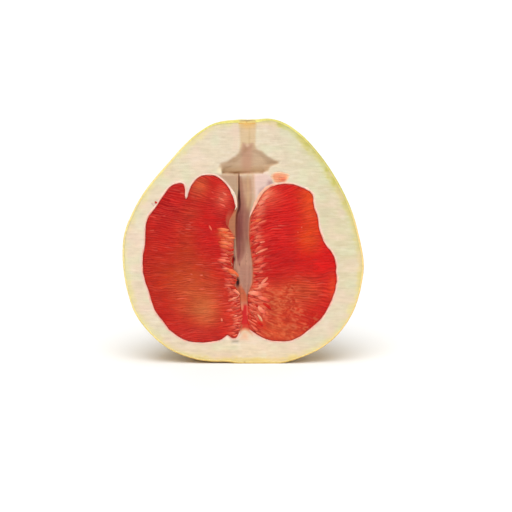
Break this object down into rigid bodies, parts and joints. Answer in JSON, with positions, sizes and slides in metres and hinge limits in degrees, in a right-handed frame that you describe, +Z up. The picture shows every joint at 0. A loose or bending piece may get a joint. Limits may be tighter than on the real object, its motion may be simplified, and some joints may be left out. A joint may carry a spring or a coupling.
{
  "type": "red pomelo half",
  "caption": "Half of a red pomelo cut from stem to blossom end: thick rind with a pith core, opened red pulp segments on the cut face and whole segments behind them.",
  "frame": {"origin": "middle of the foot of the half's bounding box, on the surface that it stands on", "axes": "+Z up from the blossom end to the stem, +Y from the cut face to the back of the skin, +X to the right for someone who looks at the cut face"},
  "size_m": [0.15, 0.0764, 0.1533],
  "materials": {
    "rind": "satin",
    "pith": "matte",
    "cut_pulp": "gloss",
    "whole_pulp": "satin"
  },
  "bodies": {
    "root": {"rind": "rind", "cut_segment_left": "cut_pulp", "cut_segment_right": "cut_pulp", "whole_segment_1": "whole_pulp", "whole_segment_2": "whole_pulp", "whole_segment_3": "whole_pulp", "whole_segment_4": "whole_pulp", "whole_segment_5": "whole_pulp", "whole_segment_6": "whole_pulp"}
  },
  "joints": []
}
